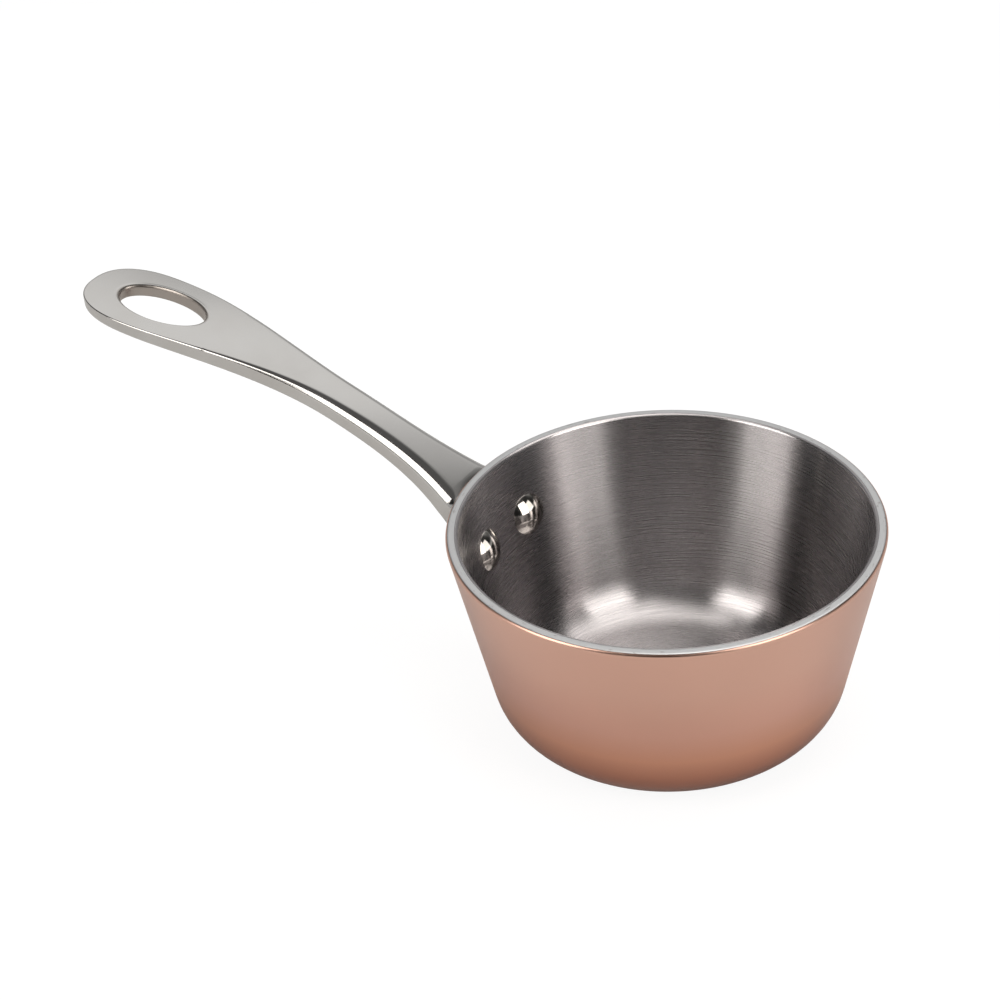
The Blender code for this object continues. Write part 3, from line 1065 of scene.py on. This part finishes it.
    def paddle_edge(self) -> Outline:
        """Evenly spaced points of half the paddle's outline, from the tip to its start.

        Returns:
            The (reach, half width) points.
        """
        fine = []
        for turn in even(math.pi / 2, 0.0, self.tip_samples):
            along = math.sin(turn) ** (2 / self.tip_fullness)
            across = max(math.cos(turn), 0.0) ** (2 / self.tip_fullness)
            reach = self.paddle_reach + self.paddle_tip_length * along
            fine.append((reach, self.paddle_half_width * across))
        for reach in even(self.paddle_reach, self.paddle_start, self.side_samples)[1:]:
            fine.append((reach, self.half_width(reach)))
        points = np.array(fine)
        gaps = np.hypot(*np.diff(points, axis=0).T)
        run = np.concatenate(([0.0], np.cumsum(gaps)))
        count = (self.hole_steps - self.cross_edges) // 2
        wanted = np.linspace(0.0, run[-1], count + 1)
        reaches = np.interp(wanted, run, points[:, 0])
        widths = np.interp(wanted, run, points[:, 1])
        return [(float(reach), float(width)) for reach, width in zip(reaches, widths)]

    def ring_place(self, build: Any, point: Any, share: float) -> Vector:
        """Where a point of a ring goes on its way from the hole to the paddle's outline.

        Args:
            build: The build, whose points keep their turn round the hole.
            point: The point.
            share: How far out the ring lies, from 0 at the hole to 1 at the outline.

        Returns:
            The place.
        """
        turn = point[build.verts.layers.float["turn"]]
        index = round(abs(turn) / (2 * math.pi / self.hole_steps))
        if index < len(self.edge):
            reach, width = self.edge[index]
        else:
            left = (self.hole_steps // 2 - index) / (self.cross_edges / 2)
            reach = self.paddle_start
            width = self.half_width(reach) * math.sin(math.pi / 2 * left)
        x = self.hole_reach + self.hole_half_length * math.cos(turn)
        start = Vector((x, self.hole_half_width * math.sin(turn), 0.0))
        return start.lerp(Vector((reach, math.copysign(1.0, turn) * width, 0.0)), share)

    def lay_out(self) -> Piece:
        """Lay out the handle flat: rings round the hole, then the neck, column by column.

        Returns:
            The flat sheet, its top face at level 0.
        """
        bpy.ops.object.select_all(action="DESELECT")
        bpy.ops.mesh.primitive_circle_add(vertices=self.hole_steps, radius=1.0, location=(0, 0, 0))
        piece = settle("pan_handle")
        turns = piece.data.attributes.new("turn", "FLOAT", "POINT")
        for index, point in enumerate(piece.data.vertices):
            turns.data[index].value = math.atan2(point.co.y, point.co.x)
        begin_edit(piece, Element.EDGES)
        size = (self.hole_half_length, self.hole_half_width, 1.0)
        bpy.ops.transform.resize(value=size, center_override=(0.0, 0.0, 0.0))
        bpy.ops.transform.translate(value=(self.hole_reach, 0.0, 0.0))
        for share in self.spoke_shares:
            grow()
            move_picked(piece, partial(self.ring_place, share=share))
        pick(piece, Element.EDGES, partial(self.ends_at, reach=self.paddle_start))
        step = (-self.column, 0.0, 0.0)
        for index in range(round((self.paddle_start - self.cap_reach) / self.column)):
            here = self.paddle_start - self.column * index
            ratio = self.half_width(here - self.column) / self.half_width(here)
            bpy.ops.mesh.extrude_region_move(TRANSFORM_OT_translate={"value": step})
            bpy.ops.transform.resize(value=(1.0, ratio, 1.0), center_override=(0.0, 0.0, 0.0))
        end_edit()
        return piece

    def thicken(self, piece: Piece) -> None:
        """Give the flat sheet its depth, soften the hole's edges and roll the sides over.

        Args:
            piece: The flat sheet.
        """
        begin_edit(piece, Element.FACES)
        bpy.ops.mesh.extrude_region_move(TRANSFORM_OT_translate={"value": (0.0, 0.0, -MM)})
        move_picked(piece, self.under_place)
        bpy.ops.mesh.select_all(action="SELECT")
        bpy.ops.mesh.normals_make_consistent(inside=False)
        for facing in (1, -1):
            count = pick(piece, Element.EDGES, partial(self.is_hole_edge, facing=facing))
            LOG.info("handle: rounding %d edges of the hole", count)
            bpy.ops.mesh.bevel(
                offset_type="OFFSET",
                offset=self.hole_round,
                segments=self.hole_segments,
                profile=0.5,
                affect="EDGES",
                clamp_overlap=False,
            )
        pick(piece, Element.POINTS, lambda point: point.co.z > -WELD)
        move_picked(piece, self.top_place)
        end_edit()

    def top_place(self, build: Any, point: Any) -> Vector:
        """Place of a point of the top face, in the flat."""
        reach, across = point.co.x, point.co.y
        return Vector((reach, across, self.top_level(reach, across)))

    def under_place(self, build: Any, point: Any) -> Vector:
        """Place of a point of the underside, in the flat, drawn in a little by the draft.

        Args:
            build: The build; not used.
            point: The point.

        Returns:
            The place.
        """
        reach, across = point.co.x, point.co.y
        level = self.under_level(reach, across)
        draft = self.thickness(reach) * math.tan(self.side_draft)
        draft /= self.half_width(min(reach, self.paddle_reach))
        if reach > self.paddle_start:
            draft *= min((self.hole_distance(point) - 1) / self.draft_run, 1.0)
        ahead = max(reach - self.hole_reach, 0.0)
        return Vector((reach - ahead * draft, across * (1 - draft), level))

    def ends_at(self, edge: Any, reach: float) -> bool:
        """Whether an edge lies across the handle at a reach."""
        return all(abs(point.co.x - reach) < WELD for point in edge.verts)

    def is_hole_edge(self, edge: Any, facing: int) -> bool:
        """Whether an edge goes round the hole, where its wall meets one face of the handle.

        Args:
            edge: The edge.
            facing: 1 for the top face, -1 for the underside.

        Returns:
            Whether it does.
        """
        if any(self.hole_distance(point) >= self.near_hole for point in edge.verts):
            return False
        tilts = sorted(face.normal.z * facing for face in edge.link_faces)
        upright = len(tilts) == 2 and abs(tilts[0]) < self.upright_tilt
        return upright and tilts[1] > self.level_tilt

    def hole_distance(self, point: Any) -> float:
        """How far out a point lies, as a multiple of the hole's own outline."""
        x = (point.co.x - self.hole_reach) / self.hole_half_length
        return math.hypot(x, point.co.y / self.hole_half_width)

    def bend_place(self, across: float, reach: float, level: float) -> Vector:
        """Where a point of the flat handle lies on the bent one.

        Args:
            across: Its distance from the centre line.
            reach: Its reach along the top face.
            level: Its level, 0 on the top face.

        Returns:
            The place.
        """
        slope = self.slope(reach)
        x = reach - level * math.sin(slope)
        return Vector((x, across, self.top(reach) + level * math.cos(slope)))

    def flange_point(self, across: float, level: float, inset: float) -> tuple[Vector, Vector]:
        """Where a point of the neck's end section flows to on the flange.

        Args:
            across: The point's distance from the centre line.
            level: Its level below the top face.
            inset: How far inside the flange's outline to go.

        Returns:
            The place in the flange's plane, and the way out of its outline there.
        """
        depth = self.thickness(self.cap_reach)
        width = self.half_width(self.cap_reach)
        rising = 1.0 if level > -depth / 2 else -1.0
        if rising < 0:
            width -= depth * math.tan(self.side_draft)
        side = math.copysign(1.0, across)
        share = math.asin(min(abs(across) / width, 1.0)) / (math.pi / 2)
        corner = self.flange_corner - inset
        straight_width = self.flange_half_width - self.flange_corner
        straight_height = self.flange_half_height - self.flange_corner
        if share < self.flange_straight:
            across = side * share / self.flange_straight * straight_width
            place = Vector((across, rising * (straight_height + corner)))
            way = Vector((0.0, rising))
        else:
            turn = (share - self.flange_straight) / (1 - self.flange_straight) * math.pi / 2
            way = Vector((side * math.sin(turn), rising * math.cos(turn)))
            place = Vector((side * straight_width, rising * straight_height)) + way * corner
        return place + Vector((0.0, self.flange_rise)), way

    def fillet_place(self, across: float, level: float, share: float) -> Vector:
        """A point of the hollow sweep from the neck's end to the flange's face.

        Args:
            across: The section point's distance from the centre line.
            level: Its level below the top face.
            share: How far along the sweep, from 0 at the neck to 1 at the flange.

        Returns:
            The place, on a curve that leaves along the neck and arrives along the flange.
        """
        start = self.bend_place(across, self.cap_reach, level)
        _, way = self.flange_point(across, level, 0.0)
        spread = abs(way.x) if level > -self.thickness(self.cap_reach) / 2 else 1.0
        land = self.sweep_upper_land + (self.sweep_land - self.sweep_upper_land) * spread
        pull = self.sweep_upper_pull + (self.sweep_pull - self.sweep_upper_pull) * spread
        flat, way = self.flange_point(across, level, self.flange_round + land)
        end = self.shape.on_wall(flat.x, flat.y, self.flange_thickness)
        beyond = self.shape.on_wall(flat.x + way.x * MM, flat.y + way.y * MM, self.flange_thickness)
        slope = self.slope(self.cap_reach)
        width = self.half_width(self.cap_reach)
        widening = (self.half_width(self.cap_reach - MM) - width) / MM * across / width
        ahead = Vector((-math.cos(slope), widening, -math.sin(slope)))
        span = (end - start).length
        leave = ahead.normalized() * span
        arrive = (beyond - end).normalized() * span * pull
        s = share
        return (
            start * (2 * s**3 - 3 * s**2 + 1)
            + leave * (s**3 - 2 * s**2 + s)
            + end * (3 * s**2 - 2 * s**3)
            + arrive * (s**3 - s**2)
        )

    def flange_place(self, across: float, level: float, inset: float, out: float) -> Vector:
        """A point of the flange's edge or seat, from its section point."""
        flat, _ = self.flange_point(across, level, inset)
        return self.shape.on_wall(flat.x, flat.y, out)

    def rings(self) -> Iterable[Callable[[float, float], Vector]]:
        """The rings from the neck's end over the flange to its seat, in order.

        Returns:
            For each ring, the rule that places a point of the neck's end section.
        """
        for step in range(1, self.fillet_rings + 1):
            yield partial(self.fillet_place, share=step / self.fillet_rings)
        radius = self.flange_round
        for step in range(self.round_rings + 1):
            angle = math.pi / 2 * step / self.round_rings
            inset = radius * (1 - math.sin(angle))
            out = self.flange_thickness - radius * (1 - math.cos(angle))
            yield partial(self.flange_place, inset=inset, out=out)
        yield partial(self.flange_place, inset=0.0, out=self.seat)

    def bend_and_root(self, piece: Piece) -> None:
        """Bend the handle to its side view and sweep its end out into the flange.

        Args:
            piece: The flat, rounded handle.
        """
        kept = piece.data.attributes
        for name in ("across", "level"):
            kept.new(name, "FLOAT", "POINT")
        for index, point in enumerate(piece.data.vertices):
            kept["across"].data[index].value = point.co.y
            kept["level"].data[index].value = point.co.z
        begin_edit(piece, Element.POINTS)
        move_picked(
            piece, lambda build, point: self.bend_place(point.co.y, point.co.x, point.co.z)
        )
        bpy.ops.mesh.normals_make_consistent(inside=False)
        slope = self.slope(self.cap_reach)
        ahead = Vector((-math.cos(slope), 0.0, -math.sin(slope)))
        count = pick(
            piece,
            Element.FACES,
            lambda face: face.normal.dot(ahead) > self.cap_tilt
            and face.calc_center_median().x < self.cap_reach + self.root_thickness,
        )
        LOG.info("handle: the neck ends in %d faces", count)
        for ring in self.rings():
            grow()
            move_picked(piece, partial(self.section_place, ring=ring))
        end_edit()
        for name in ("across", "level", "turn"):
            kept.remove(kept[name])
        close_up(piece)

    def section_place(
        self, build: Any, point: Any, ring: Callable[[float, float], Vector]
    ) -> Vector:
        """Where a ring's rule puts a point that keeps its place in the neck's end section."""
        layers = build.verts.layers.float
        return ring(point[layers["across"]], point[layers["level"]])

    def drill(self, piece: Piece) -> None:
        """Bore the flange for the rivets, with a round pocket for each tail.

        Args:
            piece: The bent handle.
        """
        bore, floor = self.shape.bore, self.shape.tail_floor
        outline = [(0.0, self.pocket_top), (self.pocket, self.pocket_top), (self.pocket, floor)]
        outline += [(bore, floor), (bore, 0.0), (0.0, 0.0)]
        for side in Side:
            tool = turn_outline("flange_drill", outline, DRILL_STEPS)
            self.shape.stand_on_wall(tool, side)
            combine(piece, tool, Cut.DRILL)

    def build(self) -> None:
        """Build and dress the handle."""
        finish = CastSteel(self.hole_reach, self.hole_half_length, self.hole_half_width)
        piece = self.lay_out()
        self.thicken(piece)
        self.bend_and_root(piece)
        self.drill(piece)
        smooth(piece, CAST_ANGLE)
        hand_over(piece, "handle", finish.material())


@dataclass
class PhotoCamera:
    """The camera, at the photograph's viewing angle."""

    shape: PanShape
    distance: float = 0.61164
    elevation: float = math.radians(33.78)
    turn: float = math.radians(30.5)
    roll: float = math.radians(1.34)
    lens: float = 108.0
    sensor: float = 36.0
    image: int = 1000
    rim_x: float = 665.75
    rim_y: float = 524.33
    nearest: float = 0.01
    farthest: float = 50.0

    def toward(self) -> Vector:
        """Horizontal direction from the object to the camera."""
        return Vector((-math.sin(self.turn), math.cos(self.turn), 0.0))

    def build(self) -> None:
        """Place the camera so that the rim's centre falls on its pixel."""
        target = Vector((0.0, 0.0, self.shape.height))
        out = self.toward() * math.cos(self.elevation) + UP * math.sin(self.elevation)
        bpy.ops.object.select_all(action="DESELECT")
        bpy.ops.object.camera_add(location=target + out * self.distance)
        camera = bpy.context.active_object
        camera.name = "photo_camera"
        camera.data.lens = self.lens
        camera.data.sensor_width = self.sensor
        focal = self.lens / self.sensor * self.image
        half = self.image / 2
        ray = Vector((self.rim_x - half, half - self.rim_y, -focal)).normalized()
        straight = (-out).to_track_quat("-Z", "Y") @ Quaternion(UP, -self.roll)
        aim = (-UP).rotation_difference(ray)
        camera.rotation_mode = "QUATERNION"
        camera.rotation_quaternion = straight @ aim.inverted()
        camera.data.clip_start = self.nearest
        camera.data.clip_end = self.farthest
        bpy.context.scene.camera = camera


@dataclass
class SoftLight:
    """A softbox: a flat panel of even light, flagged off from all but some pieces.

    Bearings and elevations are in degrees.
    """

    name: str
    bearing: float
    elevation: float
    distance: float
    width: float
    height: float
    radiance: float
    only: tuple[str, ...]
    colour: str = "#fffcf8"

    def build(self, toward: Vector) -> None:
        """Hang the panel, aim it at the pan and link it to its pieces.

        Args:
            toward: Horizontal direction to the camera, from which bearings count to the left.
        """
        way = Quaternion(UP, -math.radians(self.bearing)) @ toward
        rise = math.radians(self.elevation)
        out = way * math.cos(rise) + UP * math.sin(rise)
        bpy.ops.object.select_all(action="DESELECT")
        bpy.ops.object.light_add(type="AREA", location=out * self.distance)
        lamp = bpy.context.active_object
        lamp.name = self.name
        lamp.data.shape = "RECTANGLE"
        lamp.data.size = self.width
        lamp.data.size_y = self.height
        lamp.data.energy = self.radiance * math.pi * self.width * self.height
        lamp.data.color = linear(self.colour)[:3]
        lamp.rotation_mode = "QUATERNION"
        lamp.rotation_quaternion = (-out).to_track_quat("-Z", "Y")
        lamp.visible_camera = False
        receivers = bpy.data.collections.new(f"{self.name}_receivers")
        for name in self.only:
            receivers.objects.link(bpy.data.objects[name])
        lamp.light_linking.receiver_collection = receivers


@dataclass
class Studio:
    """White floor, softboxes and a backdrop round the object.

    The backdrop's levels are given by degrees round from the point behind the object, and its
    other limits by degrees up from the floor. It is brightest behind the object, dims to its
    sides and below, turns pale near the horizon and dim at the ceiling.
    """

    camera: PhotoCamera
    floor_radius: float = 2.0
    floor_steps: int = 96
    floor_colour: str = "#e0e0e0"
    floor_roughness: float = 0.9
    camera_share: float = 0.8
    white: float = 1.13
    backdrop: tuple[tuple[float, float], ...] = (
        (22.0, 1.0), (30.0, 0.76), (39.0, 0.60), (40.5, 0.57), (42.5, 0.30), (56.0, 0.27),
        (63.0, 0.10), (75.0, 0.03),
    )
    low_share: float = 0.45
    low_limits: tuple[float, float] = (26.0, 38.5)
    sweep: float = 0.6
    sweep_limits: tuple[float, float] = (8.0, 20.0)
    sweep_turns: tuple[float, float] = (125.0, 140.0)
    ceiling: float = 0.12
    ceiling_limits: tuple[float, float] = (52.0, 72.0)

    def floor(self) -> None:
        """Lay the floor, white to the camera apart from a faint shadow of the object."""
        bpy.ops.object.select_all(action="DESELECT")
        bpy.ops.mesh.primitive_circle_add(
            vertices=self.floor_steps,
            radius=self.floor_radius,
            fill_type="NGON",
            location=(0.0, 0.0, 0.0),
        )
        piece = settle("studio_floor")
        # Uncoated paper: an even white without a shine.
        material, add, shader = new_material("matt_paper_sweep")
        paper = {"Base Color": linear(self.floor_colour), "Roughness": self.floor_roughness}
        wire(shader, paper | {"Specular IOR Level": 0.0}, {})
        seen = add("LightPath", output="Is Camera Ray")
        share = add("Math", {"operation": "MULTIPLY", 1: self.camera_share}, {0: seen})
        glow = add("Emission", {"Strength": self.white})
        mix = add("MixShader", links={0: share, 1: shader.outputs[0], 2: glow})
        wire(material.node_tree.nodes["Material Output"], {}, {"Surface": mix})
        piece.data.materials.append(material)

    def world(self) -> None:
        """Surround the object with the backdrop, and the camera's own view with white."""
        world = bpy.data.worlds.new("studio_world")
        bpy.context.scene.world = world
        world.use_nodes = True
        add = partial(add_node, world.node_tree)
        way = add("TexCoord", output="Generated")
        flat = add("VectorMath", {"operation": "MULTIPLY", 1: LEVEL_PART}, {0: way})
        heading = add("VectorMath", {"operation": "NORMALIZE"}, {0: flat})
        back = {"operation": "DOT_PRODUCT", 1: -self.camera.toward()}
        facing = add("VectorMath", back, {0: heading}, "Value")
        beside = add("Math", {"operation": "ARCCOSINE"}, {0: facing})
        turn = add("Math", {"operation": "DIVIDE", 1: math.pi}, {0: beside})
        rise = add("SeparateXYZ", links={0: way}, output="Z")
        sweep_turns = [angle / HALF_TURN for angle in self.sweep_turns]
        falling = {"To Min": 1.0, "To Max": 0.0}
        bands = (
            (rise, sines(self.low_limits), {"To Min": self.low_share}),
            (rise, sines(self.sweep_limits), falling),
            (turn, sweep_turns, falling),
            (rise, sines(self.ceiling_limits), {}),
        )
        fades = []
        for value, (start, end), limits in bands:
            gentle = {"interpolation_type": "SMOOTHSTEP", "From Min": start, "From Max": end}
            fades.append(add("MapRange", gentle | limits, {"Value": value}))
        low, near, behind, above = fades
        stops = [(angle / HALF_TURN, (level, level, level, 1.0)) for angle, level in self.backdrop]
        panel = add("ValToRGB", {"stops": stops}, {"Fac": turn})
        panel = add("Math", {"operation": "MULTIPLY"}, {0: panel, 1: low})
        pale = add("Math", {"operation": "MULTIPLY"}, {0: near, 1: behind})
        seen = add("LightPath", output="Is Camera Ray")
        for share, level in ((pale, self.sweep), (above, self.ceiling), (seen, 1.0)):
            panel = add("Mix", {"data_type": "FLOAT", 3: level}, {0: share, 2: panel})
        background = world.node_tree.nodes["Background"]
        wire(background, {"Color": linear("#ffffff")}, {"Strength": panel})

    def lights(self) -> None:
        """Hang the softboxes: a pair for the outside, flagged ones for the liner, and small ones."""
        liner = ("pan_liner",)
        rivets = ("pan_rivet_left", "pan_rivet_right")
        outside = ("pan_copper", "pan_core", "pan_handle", "studio_floor") + rivets
        flat = ("pan_core", "studio_floor")
        panels = (
            SoftLight("softbox_left", 60.0, 34.0, 0.9, 0.48, 0.75, 3.5, outside),
            SoftLight("softbox_right", -50.0, 34.0, 0.9, 0.50, 0.75, 3.35, outside),
            SoftLight("flagged_left", 60.0, 34.5, 0.9, 0.46, 0.67, 6.0, liner),
            SoftLight("flagged_right", -49.0, 34.5, 0.9, 0.46, 0.67, 5.2, liner),
            SoftLight("flagged_above", -134.0, 77.0, 0.9, 0.75, 0.75, 2.9, liner),
            SoftLight("softbox_above", -110.0, 78.0, 0.9, 0.62, 0.62, 2.5, flat),
            SoftLight("softbox_beside", -82.0, 27.0, 0.9, 0.42, 0.50, 1.6, rivets),
        )
        for panel in panels:
            panel.build(self.camera.toward())

    def build(self) -> None:
        """Build the whole studio."""
        self.floor()
        self.world()
        self.lights()
        bpy.context.scene.view_settings.view_transform = "Standard"


def main() -> None:
    """Build the saucepan, then the studio round it."""
    logging.basicConfig(level=logging.INFO, format="%(name)s: %(message)s")
    shape = PanShape()
    camera = PhotoCamera(shape)
    camera.build()
    PanBody(shape).build()
    CastHandle(shape).build()
    rivet_finish = PolishedRivet().material()
    for side in Side:
        Rivet(shape, side).build(rivet_finish)
    Studio(camera).build()


if __name__ == "__main__":
    main()
